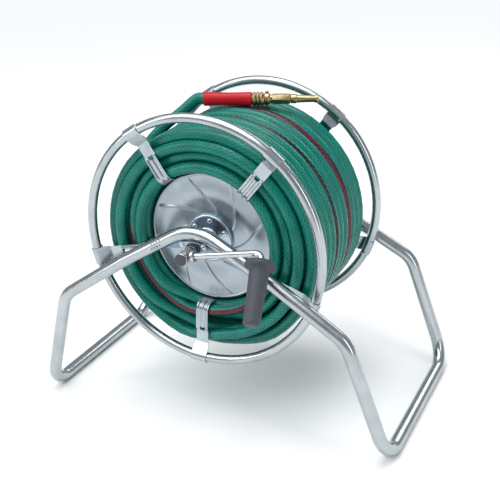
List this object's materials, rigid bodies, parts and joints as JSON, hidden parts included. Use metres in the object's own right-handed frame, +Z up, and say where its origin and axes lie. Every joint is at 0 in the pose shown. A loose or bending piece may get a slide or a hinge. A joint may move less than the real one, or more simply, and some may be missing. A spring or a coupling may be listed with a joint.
{
  "type": "garden hose reel",
  "caption": "Portable garden hose reel: a crank-turned drum with ring rims on a bent tube stand, wound with green hose that ends in a brass nozzle.",
  "frame": {"origin": "on the ground, straight below the centre of the reel", "axes": "+Z up, the reel turns about Y, the crank side faces -Y, the floor bars run along Y on the left and right"},
  "size_m": [0.6404, 0.4429, 0.5141],
  "materials": {
    "zinc": "zinc plated tube and strip",
    "zinc_sheet": "zinc plated pressed sheet",
    "bright_steel": "bright zinc plated",
    "dark_plastic": "fine grained dark grey",
    "green_hose": "clear green PVC over a light green braid with twin dark stripes",
    "red_sleeve": "satin red",
    "brass": "turned brass"
  },
  "bodies": {
    "stand": {"stand_tube_right": "zinc", "stand_tube_left": "zinc", "gusset_front": "zinc", "gusset_rear": "zinc", "bearing_block_front": "bright_steel", "bearing_block_rear": "bright_steel", "block_rivet_front_left": "bright_steel", "block_rivet_front_right": "bright_steel", "block_rivet_rear_left": "bright_steel", "block_rivet_rear_right": "bright_steel"},
    "reel": {"axle_tube": "bright_steel", "axle_plug_front": "dark_plastic", "axle_plug_rear": "dark_plastic", "thrust_washer_front": "bright_steel", "thrust_washer_rear": "bright_steel", "retaining_ring_front": "dark_plastic", "retaining_ring_rear": "dark_plastic", "drum_disc_front": "zinc_sheet", "drum_disc_rear": "zinc_sheet", "hub_front": "zinc", "hub_rear": "zinc", "hub_rivet_front_1": "bright_steel", "hub_rivet_front_2": "bright_steel", "hub_rivet_front_3": "bright_steel", "hub_rivet_front_4": "bright_steel", "hub_rivet_front_5": "bright_steel", "hub_rivet_front_6": "bright_steel", "hub_rivet_rear_1": "bright_steel", "hub_rivet_rear_2": "bright_steel", "hub_rivet_rear_3": "bright_steel", "hub_rivet_rear_4": "bright_steel", "hub_rivet_rear_5": "bright_steel", "hub_rivet_rear_6": "bright_steel", "rim_ring_front": "zinc", "rim_ring_rear": "zinc", "spoke_strap_1": "zinc", "spoke_strap_2": "zinc", "spoke_strap_3": "zinc", "spoke_strap_4": "zinc", "spoke_strap_5": "zinc", "hose_coil": "green_hose", "hose_tail": "green_hose", "nozzle_sleeve": "red_sleeve", "hose_coupling": "brass", "claw_coupling": "brass", "nozzle_body": "brass"},
    "crank": {"crank_bar": "bright_steel", "crank_collar": "bright_steel"},
    "grip": {"crank_grip": "dark_plastic"},
    "nozzle_tip": {"nozzle_barrel": "brass"}
  },
  "joints": [
    {"name": "reel_spin", "type": "hinge", "parent": "stand", "child": "reel", "pos_m": [0, 0, 0.3065], "axis": [0, 1, 0], "continuous": true},
    {"name": "crank_fold", "type": "hinge", "parent": "reel", "child": "crank", "pos_m": [0, -0.172, 0.3065], "axis": [0.9848, 0, 0.1736], "range_deg": [-46, 10]},
    {"name": "grip_spin", "type": "hinge", "parent": "crank", "child": "grip", "pos_m": [0.12901, -0.172, 0.32925], "axis": [0.1249, -0.6947, -0.7084], "continuous": true},
    {"name": "nozzle_twist", "type": "hinge", "parent": "reel", "child": "nozzle_tip", "pos_m": [0.07662, 0.06806, 0.49245], "axis": [0.9426, 0.3323, -0.0323], "range_deg": [0, 360]}
  ]
}
